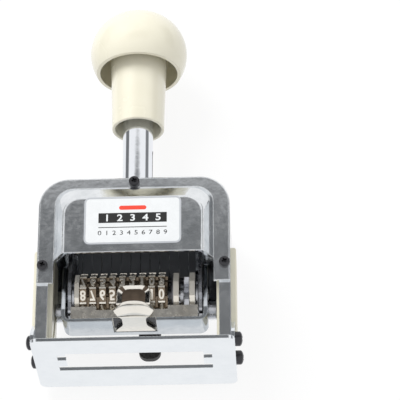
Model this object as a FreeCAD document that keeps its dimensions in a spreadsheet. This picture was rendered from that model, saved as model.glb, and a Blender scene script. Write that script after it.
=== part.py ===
import FreeCAD, Part
import Sketcher
import math
import os
import re

# Self-inking numbering machine, standing on its sole: +Z up, -Y the front with the
# hood, millimetres. The origin is on the paper plane, under the axis of the plunger.

doc = FreeCAD.newDocument("NumberingMachine")
Vector = FreeCAD.Vector

SIZES = {
    # Base: a sole plate with a print window and an ear turned up at each side.
    "base_deep": 37, "sole_thick": 1.2, "sole_round": 2.5,
    "ear_thick": 1.2, "ear_low": 4, "ear_high": 9, "ear_half": 17, "ear_top_half": 11.5,
    "window_gap": 2.7, "window_step": 2.8, "window_front": 8.3, "window_rear": 5,
    "notch_front": 6.6, "tab_front": 3.2, "tab_rear": 1.5,
    "base_screw_y": 7.5, "base_screw_z": 4.6, "base_head": 2.4, "base_head_high": 2.4,
    # Main frame: an inverted U with a slot in each leg for the guides.
    "frame_high": 61, "frame_deep": 29, "leg_thick": 3.8, "bridge_thick": 3.8,
    "frame_round": 10, "screw_shank": 1.2, "screw_grip": 5, "head_edge": 0.5,
    "guide_front": 7.2, "guide_rear": 5.2, "guide_high": 37.5, "guide_sheet": 1,
    "guide_lap": 0.8, "guide_proud": 1.8, "groove_play": 0.3,
    # Covers: a pressed hood at the front and a plate with a raised panel at the rear.
    "cover_thick": 1, "cover_low": 22.2, "cover_edge": 0.4, "hood_gap": 1.7,
    "hood_low": 30.5, "hood_top": 57, "hood_step": 1.3, "hood_step_deep": 1.8,
    "hood_deep": 5.5, "hood_draft": 3.3, "hood_slope": 6.4, "hood_round": 6,
    "hood_soft": 1.2, "cover_head": 1.8, "cover_head_high": 1.6, "cover_screw_top": 59.2,
    "cover_screw_side": 28.6, "plate_wide": 31, "plate_tall": 16.3, "plate_low": 33.8,
    "plate_thick": 0.5, "plate_sunk": 0.35, "plate_round": 1.4,
    "panel_half": 21, "panel_low": 27, "panel_top": 54, "panel_proud": 0.8, "panel_round": 3,
    # Plunger: the tube, its bushing, the spring inside it and the handle.
    "tube_round": 5.25, "tube_wall": 1.05, "tube_top": 118, "shaft_play": 0.05,
    "collar_round": 8.5, "collar_high": 4.2, "neck_round": 7.5,
    "pin_round": 1.1, "pin_high": 63.1, "slot_play": 0.3, "seat_play": 0.25,
    "seat_high": 2.9, "plug_long": 10, "stud_round": 2.5, "stud_long": 5,
    "coil_wire": 0.45, "coil_play": 0.3,
    "sleeve_low": 88, "sleeve_foot": 9, "sleeve_head": 9.9, "sleeve_bore": 7.95,
    "sleeve_hollow": 18, "knob_round": 17, "knob_edge": 15, "knob_middle": 118.8,
    "knob_low": 110.9, "knob_top": 134.5, "knob_wall": 1, "knob_ceiling": 127,
    # Carriage: side plates under a web, with the wheel axle and the detent comb.
    "press_travel": 15, "web_thick": 2.4, "bumper_gap": 0.3, "bumper_high": 2.9,
    "nut_round": 8, "nut_high": 3, "side_thick": 1.2, "side_front": 7.5,
    "side_rear": 8, "side_low": 15.4, "toe_front": 6, "toe_rear": 3.2, "toe_high": 20,
    "axle_high": 23, "axle_front": 1.6,
    "axle_round": 2, "axle_end": 1.5, "clip_thick": 0.35, "clip_round": 3.2,
    "comb_face": 0.5, "comb_thick": 0.6, "comb_play": 1.1,
    "comb_slit": 0.35, "bar_low": 42, "bar_high": 4, "bar_deep": 3,
    "stay_round": 1.2, "stay_head": 0.5, "stay_high": 46.5, "stay_y": 5.6,
    # Wheels: nine number wheels, blank wheels beside them and a repeat ratchet.
    "wheel_gap": 0.24, "wheel_wide": 3, "band_wide": 2.2, "wheel_round": 8.2,
    "wheel_flat": 7.3, "ridge_wide": 0.6, "ratchet_round": 6.9, "ratchet_root": 5.8,
    "blank_thin": 1.5, "blank_wide": 1.8, "blank_gap": 0.2, "blank_turned": 5,
    "spacer_gap": 0.18, "spacer_wide": 1.8, "spacer_round": 3.4, "spacer_disc": 7.6,
    "disc_thick": 0.5, "pawl_gap": 0.4, "pawl_wide": 1.1, "repeat_gap": 0.1,
    "repeat_wide": 1.7, "repeat_round": 6.6, "repeat_root": 5.3, "tooth_slant": 4,
    "row_shift": 0.05,
    # Feed rocker: two arms on the axle with a rod and a fingered pawl.
    "arm_gap": 0.25, "arm_thick": 0.7, "arm_play": 0.2, "arm_hub": 5.5, "rod_reach": 13,
    "rod_angle": 50,
    "rod_round": 1, "rod_eye": 1, "feed_gap": 0.3, "feed_thick": 1.2, "finger_wide": 0.5,
    # Inker: a stirrup on the axle that holds the pad under the wheels.
    "axle_gap": 0.5, "inker_thick": 1.4, "tray_low": 11.2, "tray_thick": 1.2,
    "tray_front": 8.9, "tray_rear": 2.2, "tray_bend": 3, "inker_top": 33.4,
    "inker_top_front": 6, "inker_top_rear": 1, "inker_waist": 16, "inker_back": 3.9,
    "follower_reach": 4.9, "follower_angle": 45, "follower_round": 3,
    "roller_wide": 2.5, "follower_gap": 0.4, "follower_pin": 1.1, "cut_play": 0.6,
    "cut_rear": 0.1, "holder_gap": 1.8, "holder_floor": 0.4, "holder_wall": 0.5, "holder_end": 16.6,
    "holder_middle": 15.3, "holder_left": 12.5, "holder_right": 11, "holder_lip": 14,
    "pad_play": 0.4, "pad_front": 7.8, "pad_rear": 1.4, "pad_thick": 1.7,
    # Clip: a dovetail under the pad holder that ends in a scoop for the thumb.
    "thumb_rear": 0.6, "thumb_flare": 6.6, "thumb_waist": 3.6, "thumb_waist_y": 5.2,
    "thumb_neck": 4.3, "thumb_lip": 5.7, "thumb_bend_y": 11.8, "thumb_lip_y": 15.2,
    "thumb_lip_z": 14.3, "thumb_thick": 0.9, "thumb_top": 22.6, "thumb_back": 11.1,
    "thumb_wall": 0.8, "thumb_mouth": 4.9, "thumb_arch": 1.9, "thumb_rim": 14.2,
    "thumb_rim_top": 12.1, "thumb_flat": 2,
    # Rear controls: the repeat lever and the lock button.
    "lever_x": 3.6, "lever_high": 33, "lever_hub": 4.2, "lever_wide": 4.6,
    "lever_thick": 1, "lever_foot": 10.5, "pivot_round": 2, "pivot_head": 3.2,
    "pivot_head_high": 0.9, "tip_half": 3.7, "tip_low": 8.5, "tip_high": 20,
    "tip_wall": 0.7, "rear_gap": 0.3, "button_x": -13, "button_z": 46,
    "button_round": 2, "button_cap": 3.4, "button_cap_high": 2.55, "button_travel": 2,
    "button_long": 6.5,
}

sheet = doc.addObject("Spreadsheet::Sheet", "Sizes")
for row, (alias, amount) in enumerate(SIZES.items(), 1):
    sheet.set("A%d" % row, alias)
    sheet.set("B%d" % row, str(amount))
    sheet.setAlias("B%d" % row, alias)
doc.recompute()

# The row on the axle, from left to right: a thin blank wheel, nine number wheels, a
# spacer against a blank wheel, the repeat pawl, the repeat ratchet and a blank wheel.
WHEELS = 9
WHEEL_PITCH = "(wheel_wide + wheel_gap)"
WHEELS_LONG = "(%d * %s - wheel_gap)" % (WHEELS, WHEEL_PITCH)
GEAR_LONG = "(pawl_gap + pawl_wide + repeat_gap + repeat_wide)"
ROW_HALF = ("((blank_thin + 2 * blank_gap + %s + spacer_gap + spacer_wide + 2 * blank_wide + %s) / 2)"
            % (WHEELS_LONG, GEAR_LONG))
BLANK_LEFT = "(row_shift - %s)" % ROW_HALF
WHEEL_FIRST = "(%s + blank_thin + blank_gap + wheel_wide / 2)" % BLANK_LEFT
SPACER_FACE = "(%s - wheel_wide / 2 + %s + spacer_gap)" % (WHEEL_FIRST, WHEELS_LONG)
BLANK_MIDDLE = "(%s + spacer_wide)" % SPACER_FACE
PAWL_FACE = "(%s + blank_wide + pawl_gap)" % BLANK_MIDDLE
REPEAT_FACE = "(%s + pawl_wide + repeat_gap)" % PAWL_FACE
BLANK_RIGHT = "(%s + repeat_wide + blank_gap)" % REPEAT_FACE

# From the row outwards: the arms, the carriage, the inker, the guides, the legs, the ears.
ARM_FACE = "(%s + arm_gap)" % ROW_HALF
ARM_OUT = "(%s + arm_thick)" % ARM_FACE
PLATE_FACE = "(%s + arm_play)" % ARM_OUT
COMB_HALF = "(%s - comb_play)" % PLATE_FACE
SIDE_OUT = "(%s + side_thick)" % PLATE_FACE
INKER_FACE = "(%s + axle_gap)" % SIDE_OUT
INKER_OUT = "(%s + inker_thick)" % INKER_FACE
HOLDER_HALF = "(%s - holder_gap)" % INKER_FACE
GUIDE_FACE = "(%s + roller_wide + follower_gap)" % INKER_OUT
LEG_IN = "(%s + guide_sheet)" % GUIDE_FACE
LEG_MIDDLE = "(%s + leg_thick / 2)" % LEG_IN
LEG_OUT = "(%s + leg_thick)" % LEG_IN
BASE_HALF = "(%s + ear_thick)" % LEG_OUT
HOOD_HALF = "(%s - hood_gap)" % LEG_IN
WINDOW_HALF = "(%s - window_gap)" % LEG_IN
WINDOW_NECK = "(%s - window_step)" % WINDOW_HALF
THROUGH = ("YZ_Plane", "-2 * " + BASE_HALF, "2 * " + BASE_HALF)

# Heights and depths that several pieces share.
COVER_FACE = "(frame_deep / 2 + cover_thick)"
BRIDGE_LOW = "(frame_high - bridge_thick)"
WEB_TOP = "(frame_high - bridge_thick - bumper_gap - bumper_high)"
WEB_LOW = "(frame_high - bridge_thick - bumper_gap - bumper_high - web_thick)"
TUBE_FOOT = "(frame_high - bridge_thick - bumper_gap - bumper_high - web_thick - nut_high)"
TUBE_BORE = "(tube_round - tube_wall)"
SEAT_TOP = "(pin_high + seat_high)"
TRAY_TOP = "(tray_low + tray_thick)"
LEVER_FACE = "(frame_deep / 2 + cover_thick + panel_proud + rear_gap)"


def bound(text):
    """An expression on the sheet, written with bare size names."""
    return re.sub(r"[a-z_]+", lambda word: "Sizes." + word[0] if word[0] in SIZES else word[0], text)


def size(text):
    """The number that an expression on the sheet gives."""
    return float(sheet.evalExpression(bound(text)))


def new_body(label):
    return doc.addObject("PartDesign::Body", label)


def origin_part(body, role):
    return [part for part in body.Origin.OriginFeatures if part.Role == role][0]


def pin_point(sketch, shape, end, x, y):
    """Ties one end of a sketch line to a place given by two expressions."""
    for kind, text in (("DistanceX", x), ("DistanceY", y)):
        index = sketch.addConstraint(Sketcher.Constraint(kind, -1, 1, shape, end, size(text)))
        sketch.setExpression("Constraints[%d]" % index, bound(text))


def draw(sketch, outline):
    """Draws a circle (x, y, radius), or a closed outline through a list of corners."""
    first = len(sketch.Geometry)
    if isinstance(outline, tuple):
        x, y, radius = outline
        sketch.addGeometry(Part.Circle(Vector(size(x), size(y), 0), Vector(0, 0, 1), size(radius)))
        pin_point(sketch, first, 3, x, y)
        index = sketch.addConstraint(Sketcher.Constraint("Radius", first, size(radius)))
        sketch.setExpression("Constraints[%d]" % index, bound(radius))
        return
    corners = [Vector(size(x), size(y), 0) for x, y in outline]
    for number, corner in enumerate(corners):
        sketch.addGeometry(Part.LineSegment(corners[number - 1], corner))
    for number, (x, y) in enumerate(outline):
        pin_point(sketch, first + number, 2, x, y)
        before = first + (number - 1) % len(outline)
        sketch.addConstraint(Sketcher.Constraint("Coincident", first + number, 1, before, 2))


def sketch_on(body, plane, height, outlines):
    """A sketch parallel to an origin plane, at a height along that plane's normal."""
    sketch = body.newObject("Sketcher::SketchObject", "Outline")
    sketch.AttachmentSupport = [(origin_part(body, plane), "")]
    sketch.MapMode = "FlatFace"
    sketch.setExpression("AttachmentOffset.Base.z", bound(height))
    for outline in outlines:
        draw(sketch, outline)
    return sketch


def pad(body, plane, low, high, *outlines):
    """Adds material between two coordinates along X, Y or Z. The XZ plane faces -Y."""
    height = "-(%s)" % high if plane == "XZ_Plane" else low
    feature = body.newObject("PartDesign::Pad", "Pad")
    feature.Profile = sketch_on(body, plane, height, outlines)
    feature.setExpression("Length", bound("(%s) - (%s)" % (high, low)))
    doc.recompute()
    return feature


def cut(body, plane, low, high, *outlines):
    """Removes material between two coordinates along X, Y or Z."""
    before = body.Shape.Volume
    height = "-(%s)" % low if plane == "XZ_Plane" else high
    feature = body.newObject("PartDesign::Pocket", "Cut")
    feature.Profile = sketch_on(body, plane, height, outlines)
    feature.setExpression("Length", bound("(%s) - (%s)" % (high, low)))
    doc.recompute()
    if body.Shape.Volume > before - 1e-6:
        raise ValueError("a cut in %s removes nothing" % body.Label)
    return feature


def turn(body, outline, axis="V_Axis"):
    """Revolves an outline of the XZ plane about Z, or about X with the H_Axis."""
    feature = body.newObject("PartDesign::Revolution", "Turned")
    sketch = sketch_on(body, "XZ_Plane", "0", [outline])
    feature.Profile = sketch
    feature.ReferenceAxis = (sketch, [axis])
    feature.Angle = 360
    doc.recompute()
    return feature


def soften(body, kind, amount, chosen):
    """Fillets or chamfers the edges of a body that the test chooses."""
    base = body.Tip
    names = ["Edge%d" % number for number, edge in enumerate(body.Shape.Edges, 1) if chosen(edge)]
    feature = body.newObject("PartDesign::" + kind, kind)
    feature.Base = (base, names)
    feature.setExpression("Radius" if kind == "Fillet" else "Size", bound(amount))
    doc.recompute()
    return feature


def along(axis):
    """A test for straight edges that run along a world axis."""
    direction = {"X": Vector(1, 0, 0), "Y": Vector(0, 1, 0), "Z": Vector(0, 0, 1)}[axis]

    def chosen(edge):
        if len(edge.Vertexes) != 2 or not isinstance(edge.Curve, Part.Line):
            return False
        run = edge.Vertexes[1].Point - edge.Vertexes[0].Point
        return run.normalize().cross(direction).Length < 1e-6

    return chosen


def edges_at(axis, place, running=None):
    """A test for edges in a plane across an axis, or for those that run along another."""
    low, high = axis + "Min", axis + "Max"
    level = size(place)

    def chosen(edge):
        box = edge.BoundBox
        flat = abs(getattr(box, low) - level) < 1e-4 and abs(getattr(box, high) - level) < 1e-4
        return flat and (running is None or along(running)(edge))

    return chosen


def rim(radius, height):
    """A test for round edges of a radius about Z, at a height."""
    def chosen(edge):
        curve = edge.Curve
        return (isinstance(curve, Part.Circle) and abs(curve.Radius - size(radius)) < 1e-4
                and abs(curve.Center.z - size(height)) < 1e-4)

    return chosen


def place(item, x="0", y="0", z="0", turned=0):
    """Puts a sub-part made about the origin in its place, after a turn about X."""
    item.Placement = FreeCAD.Placement(Vector(), FreeCAD.Rotation(Vector(1, 0, 0), turned))
    for name, text in (("x", x), ("y", y), ("z", z)):
        item.setExpression("Placement.Base." + name, bound(text))
    return item


def on_axle(item, turned=0):
    """Moves a sub-part from the origin to the axle of the wheels."""
    return place(item, "0", "-axle_front", "axle_high", turned)


def solid(label, shape):
    """A sub-part whose form Part's functions work out from the sheet."""
    feature = doc.addObject("Part::Feature", label)
    feature.Shape = shape
    return feature


def part_cut(label, base, *tools):
    """A boolean of whole pieces: the base less each tool."""
    for tool in tools:
        result = doc.addObject("Part::Cut", "Cut")
        result.Base = base
        result.Tool = tool
        base = result
    base.Label = label
    doc.recompute()
    return base


def moved(shape, x, y, z, axis=None, angle=0):
    turned = shape.copy()
    rotation = FreeCAD.Rotation(Vector(*axis), angle) if axis else FreeCAD.Rotation()
    turned.Placement = FreeCAD.Placement(Vector(x, y, z), rotation)
    return turned


def symmetric(half):
    """A closed outline from its right half, given from the bottom upwards."""
    return [(x, z) for x, z in half] + [("-(%s)" % x, z) for x, z in reversed(half)]


def box_outline(left, low, right, high):
    return [(left, low), (right, low), (right, high), (left, high)]


def at_angle(out, side, degrees):
    """A corner a way out along a spoke and a way to its side, as two expressions."""
    across = math.cos(math.radians(degrees))
    up = math.sin(math.radians(degrees))
    return ("(%s) * (%.9f) - (%s) * (%.9f)" % (out, across, side, up),
            "(%s) * (%.9f) + (%s) * (%.9f)" % (out, up, side, across))


def screw(head, high, shank, grip):
    """A cheese-head screw standing on Z = 0, its shank downwards."""
    top = Part.makeCylinder(head, high)
    crown = [edge for edge in top.Edges if edge.BoundBox.ZMin > high - 1e-6]
    top = top.makeChamfer(size("head_edge"), crown)
    return top.fuse(Part.makeCylinder(shank, grip + high / 2, Vector(0, 0, -grip)))


# The sole carries the whole machine. Its window lets the wheels reach the paper, and
# the tabs and notches at the window's ends show where the line of print will fall.
def make_base():
    body = new_body("base_plate")
    deep = "base_deep / 2"
    pad(body, "XY_Plane", "0", "sole_thick",
        box_outline("-" + BASE_HALF, "-" + deep, BASE_HALF, deep))
    soften(body, "Fillet", "sole_round", along("Z"))
    ear = symmetric([("ear_half", "sole_thick / 2"), ("ear_half", "ear_low"),
                     ("ear_top_half", "ear_high")])
    for low, high in (("-" + BASE_HALF, "-" + LEG_OUT), (LEG_OUT, BASE_HALF)):
        pad(body, "YZ_Plane", low, high, ear)
    soften(body, "Fillet", "ear_low / 2", lambda edge: along("X")(edge)
           and edge.BoundBox.ZMin > size("ear_low") - 1e-4)
    cut(body, "XY_Plane", "-1", "sole_thick + 1",
        symmetric([(WINDOW_NECK, "-window_front"), (WINDOW_NECK, "-notch_front"),
                   (WINDOW_HALF, "-notch_front"), (WINDOW_HALF, "-tab_front"),
                   (WINDOW_NECK, "-tab_front"), (WINDOW_NECK, "tab_rear"),
                   (WINDOW_HALF, "tab_rear"), (WINDOW_HALF, "window_rear")]))
    cut(body, *THROUGH, *base_screw_holes())
    return body


def base_screw_holes():
    return [(way + "base_screw_y", "base_screw_z", "screw_shank") for way in ("-", "")]


# An inverted U of cast metal: two legs with slots under a bridge for the bushing.
def make_frame():
    body = new_body("main_frame")
    front = "frame_deep / 2"
    pad(body, "XZ_Plane", "-" + front, front,
        symmetric([(LEG_OUT, "sole_thick"), (LEG_OUT, "frame_high")]))
    soften(body, "Fillet", "frame_round", edges_at("Z", "frame_high", "Y"))
    cut(body, "XZ_Plane", "-frame_deep", "frame_deep",
        symmetric([(LEG_IN, "0"), (LEG_IN, BRIDGE_LOW)]))
    soften(body, "Fillet", "frame_round - leg_thick", edges_at("Z", BRIDGE_LOW, "Y"))
    cut(body, *THROUGH,
        box_outline("-guide_front", "ear_high + rear_gap + guide_lap", "guide_rear",
                    "guide_high - guide_lap"))
    cut(body, "XY_Plane", BRIDGE_LOW + " - 1", "frame_high + 1", ("0", "0", "neck_round"))
    cut(body, *THROUGH, *base_screw_holes())
    deep = "screw_grip - cover_thick"
    cut(body, "XZ_Plane", "-" + front, "%s - %s" % (deep, front), *cover_screw_holes())
    cut(body, "XZ_Plane", "%s - (%s)" % (front, deep), front, *cover_screw_holes())
    return body


def cover_screw_holes():
    return [("0", "cover_screw_top", "screw_shank"),
            ("-" + LEG_MIDDLE, "cover_screw_side", "screw_shank"),
            (LEG_MIDDLE, "cover_screw_side", "screw_shank")]


def make_base_screws():
    shape = screw(size("base_head"), size("base_head_high"), size("screw_shank"),
                  size("ear_thick + leg_thick"))
    face = size(BASE_HALF)
    across = size("base_screw_y")
    return solid("base_screws", Part.makeCompound(
        [moved(shape, side * face, y, size("base_screw_z"), (0, 1, 0), 90 * side)
         for side in (-1, 1) for y in (-across, across)]))


def make_cover_screws(label, way):
    shape = screw(size("cover_head"), size("cover_head_high"), size("screw_shank"),
                  size("screw_grip"))
    return solid(label, Part.makeCompound(
        [moved(shape, size(x), way * size(COVER_FACE), size(z), (1, 0, 0), -90 * way)
         for x, z, hole in cover_screw_holes()]))


# Plastic liners that fill the slots of the legs. The followers of the inker run in
# the curved groove of each, which swings the inker out as the carriage comes down.
def make_guide(label, side):
    body = new_body(label + "_blank")
    low = "ear_high + rear_gap"
    layers = ((GUIDE_FACE, LEG_IN, "guide_lap", "sole_thick", "guide_high"),
              (LEG_IN, LEG_OUT, "0", low + " + guide_lap", "guide_high - guide_lap"),
              (LEG_OUT, LEG_OUT + " + guide_proud", "guide_lap", low, "guide_high"))
    for near, far, lap, low, high in layers:
        if side < 0:
            near, far = "-(%s)" % far, "-(%s)" % near
        pad(body, "YZ_Plane", near, far,
            box_outline("-guide_front - " + lap, low, "guide_rear + " + lap, high))
    face = size(LEG_OUT + " + guide_proud") * side
    soften(body, "Chamfer", "guide_proud / 4", lambda edge: abs(edge.BoundBox.XMin - face) < 1e-4
           and abs(edge.BoundBox.XMax - face) < 1e-4)
    return part_cut(label, body, solid(label + "_groove", cam_groove(side)))


def follower_at(turned):
    """Where a follower's axis lies, in Y and Z, when the inker has turned so far."""
    angle = math.radians(size("follower_angle") - turned)
    drop = size("press_travel") * turned / 90
    reach = size("follower_reach")
    return Vector(0, reach * math.sin(angle) - size("axle_front"),
                  size("axle_high") - drop - reach * math.cos(angle))


def cam_groove(side):
    """A slot along the path of the follower, cut into the face of a guide."""
    half = size("follower_pin + groove_play")
    start, middle, end = [follower_at(turned) for turned in (0, 45, 90)]
    bow = Part.Arc(start, middle, end).toShape().Curve.Center
    inner = [bow + (point - bow) * (1 - half / (point - bow).Length) for point in (start, middle, end)]
    outer = [bow + (point - bow) * (1 + half / (point - bow).Length) for point in (start, middle, end)]
    caps = []
    for point, other in ((start, end), (end, start)):
        tangent = (point - bow).cross(Vector(1, 0, 0)).normalize()
        caps.append(point + tangent * half * math.copysign(1, tangent.dot(point - other)))
    wire = Part.Wire([Part.Arc(*inner).toShape(), Part.Arc(inner[2], caps[1], outer[2]).toShape(),
                      Part.Arc(*reversed(outer)).toShape(),
                      Part.Arc(outer[0], caps[0], inner[0]).toShape()])
    slot = Part.Face(wire).extrude(Vector(side * size("2 * guide_sheet"), 0, 0))
    slot.translate(Vector(side * size(GUIDE_FACE + " - guide_sheet"), 0, 0))
    return slot


# The pressed front cover: a flange on the legs and a hood that bulges over the wheels.
def arch(half, low, top, corner, y):
    """A wire across Y: upright sides under a top with round corners."""
    rise = corner * (1 - math.sqrt(0.5))
    arcs = []
    for side in (1, -1):
        arcs.append([Vector(side * half, y, top - corner),
                     Vector(side * (half - rise), y, top - rise),
                     Vector(side * (half - corner), y, top)])
    right, left = arcs
    foot_right = Vector(half, y, low)
    foot_left = Vector(-half, y, low)
    edges = [Part.LineSegment(foot_left, foot_right), Part.LineSegment(foot_right, right[0]),
             Part.Arc(*right), Part.LineSegment(right[2], left[2]),
             Part.Arc(*reversed(left)), Part.LineSegment(left[0], foot_left)]
    return Part.Wire([edge.toShape() for edge in edges])


def hood_form(inset, low):
    """The bulge of the hood, its sides and top moved inwards by an inset."""
    face = -size(COVER_FACE) + inset
    corner = size("hood_round") - inset
    stages = ((0, HOOD_HALF, "hood_top"),
              (size("hood_step_deep"), HOOD_HALF + " - hood_step", "hood_top - hood_step"),
              (size("hood_deep"), HOOD_HALF + " - hood_draft", "hood_top - hood_slope"))
    wires = [arch(size(half) - inset, low, size(top) - inset, corner, face - deep)
             for deep, half, top in stages]
    form = Part.makeLoft(wires, True, True)
    front = face - size("hood_deep")
    edges = [edge for edge in form.Edges if edge.BoundBox.YMax < front + 1e-4
             and edge.BoundBox.ZMax > low + 1e-4]
    return form.makeFillet(size("hood_soft") - inset / 2, edges)


def cover_flange(label, way):
    """The flat plate of a cover, as wide and as round as the frame behind it."""
    body = new_body(label)
    near = "frame_deep / 2"
    low, high = (near, COVER_FACE) if way > 0 else ("-" + COVER_FACE, "-" + near)
    pad(body, "XZ_Plane", low, high, symmetric([(LEG_OUT, "cover_low"), (LEG_OUT, "frame_high")]))
    soften(body, "Fillet", "frame_round", edges_at("Z", "frame_high", "Y"))
    cut(body, "XZ_Plane", "%s - 1" % low, "%s + 1" % high, *cover_screw_holes())
    face = edges_at("Y", high if way > 0 else low)
    soften(body, "Chamfer", "cover_edge", lambda edge: face(edge) and edge.Length > size("frame_round")
           and edge.BoundBox.ZMax > size("cover_low") + 1)
    return body


def make_front_cover():
    flange = cover_flange("front_flange", -1)
    cut(flange, "XZ_Plane", "-%s - 1" % COVER_FACE, "0",
        symmetric([(HOOD_HALF, "cover_low - 1"), (HOOD_HALF, "hood_low")]))
    pocket = new_body("nameplate_seat")
    pad(pocket, "XZ_Plane", "-%s - hood_deep - 1" % COVER_FACE,
        "plate_sunk - %s - hood_deep" % COVER_FACE, plate_outline())
    soften(pocket, "Fillet", "plate_round", along("Y"))
    pressing = doc.addObject("Part::MultiFuse", "Pressing")
    pressing.Shapes = [flange, solid("hood_outside", hood_form(0, size("hood_low")))]
    hollow = solid("hood_inside", hood_form(size("cover_thick"), size("hood_low") - 1))
    return part_cut("front_cover", pressing, hollow, pocket)


def plate_outline():
    return symmetric([("plate_wide / 2", "plate_low"), ("plate_wide / 2", "plate_low + plate_tall")])


def make_nameplate():
    body = new_body("nameplate")
    seat = "plate_sunk - %s - hood_deep" % COVER_FACE
    pad(body, "XZ_Plane", seat + " - plate_thick", seat, plate_outline())
    soften(body, "Fillet", "plate_round", along("Y"))
    soften(body, "Chamfer", "(plate_thick - plate_sunk) * 0.8", edges_at("Y", seat + " - plate_thick"))
    return body


def make_rear_cover():
    body = cover_flange("rear_cover", 1)
    panel = "%s + panel_proud" % COVER_FACE
    pad(body, "XZ_Plane", COVER_FACE, panel,
        symmetric([("panel_half", "panel_low"), ("panel_half", "panel_top")]))
    soften(body, "Fillet", "panel_round", lambda edge: along("Y")(edge)
           and edge.BoundBox.YMax > size(panel) - 1e-4)
    soften(body, "Fillet", "panel_proud * 0.9", edges_at("Y", panel))
    cut(body, "XZ_Plane", "0", panel + " + 1", ("lever_x", "lever_high", "screw_shank"),
        ("button_x", "button_z", "button_round + shaft_play"))
    return body


# The bushing sits in the bridge, and a cross pin through it holds the foot of the
# return spring inside the tube, whose slots let the tube slide past the pin.
def make_bushing():
    body = new_body("top_bushing")
    bore = "tube_round + shaft_play"
    top = "frame_high + collar_high"
    turn(body, [(bore, BRIDGE_LOW), ("neck_round", BRIDGE_LOW), ("neck_round", "frame_high"),
                ("collar_round", "frame_high"), ("collar_round", top), (bore, top)])
    soften(body, "Chamfer", "collar_high / 5", rim("collar_round", top))
    cut(body, "YZ_Plane", "-collar_round", "collar_round", ("0", "pin_high", "pin_round"))
    return body


def make_spring_pin():
    body = new_body("spring_pin")
    pad(body, "YZ_Plane", "-collar_round", "collar_round", ("0", "pin_high", "pin_round"))
    return body


def make_spring_seat():
    body = new_body("spring_seat")
    wide = TUBE_BORE + " - seat_play"
    turn(body, [("0", "pin_high - pin_round * 2"), (wide, "pin_high - pin_round * 2"),
                (wide, SEAT_TOP), ("0", SEAT_TOP)])
    soften(body, "Chamfer", "seat_play", rim(wide, SEAT_TOP))
    cut(body, "YZ_Plane", "-tube_round", "tube_round", ("0", "pin_high", "pin_round"))
    return body


def make_tube():
    body = new_body("plunger_tube")
    turn(body, [(TUBE_BORE, TUBE_FOOT), ("tube_round", TUBE_FOOT), ("tube_round", "tube_top"),
                (TUBE_BORE, "tube_top")])
    half = "pin_round + slot_play"
    top = "pin_high + press_travel"
    cut(body, "YZ_Plane", "-tube_round", "tube_round",
        box_outline("-(%s)" % half, "pin_high", half, top))
    for height in ("pin_high", top):
        cut(body, "YZ_Plane", "-tube_round", "tube_round", ("0", height, half))
    return body


def make_tube_collar():
    body = new_body("tube_collar")
    turn(body, [("tube_round", TUBE_FOOT), ("nut_round", TUBE_FOOT), ("nut_round", WEB_LOW),
                ("tube_round", WEB_LOW)])
    soften(body, "Chamfer", "nut_high / 6", rim("nut_round", TUBE_FOOT))
    for way in ("-", ""):
        outline = symmetric([("nut_round", way + "nut_round * 0.86"), ("nut_round", way + "nut_round * 2")])
        cut(body, "XY_Plane", TUBE_FOOT + " - 1", WEB_LOW, outline)
    return body


def make_bumper():
    body = new_body("top_bumper")
    high = WEB_TOP + " + bumper_high"
    turn(body, [("tube_round", WEB_TOP), ("nut_round", WEB_TOP), ("nut_round", high),
                ("tube_round", high)])
    soften(body, "Chamfer", "bumper_high / 4", rim("nut_round", high))
    return body


def make_plug():
    body = new_body("tube_plug")
    low = "tube_top - plug_long"
    top = "tube_top + stud_long"
    turn(body, [("0", low), (TUBE_BORE, low), (TUBE_BORE, "tube_top"), ("stud_round", "tube_top"),
                ("stud_round", top), ("0", top)])
    soften(body, "Chamfer", "stud_round / 6", rim("stud_round", top))
    return body


# A plain stand-in for the coils of the return spring, which the tube hides.
def make_spring():
    body = new_body("return_spring")
    outer = TUBE_BORE + " - coil_play"
    inner = outer + " - 2 * coil_wire"
    high = "tube_top - plug_long"
    turn(body, [(inner, SEAT_TOP), (outer, SEAT_TOP), (outer, high), (inner, high)])
    return body


def make_sleeve():
    body = new_body("handle_sleeve")
    shelf = "sleeve_low + sleeve_hollow"
    turn(body, [("sleeve_bore", "sleeve_low"), ("sleeve_foot", "sleeve_low"),
                ("sleeve_head", "tube_top"), ("tube_round", "tube_top"), ("tube_round", shelf),
                ("sleeve_bore", shelf)])
    soften(body, "Chamfer", "(sleeve_foot - sleeve_bore) / 4", edges_at("Z", "sleeve_low"))
    return body


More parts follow.
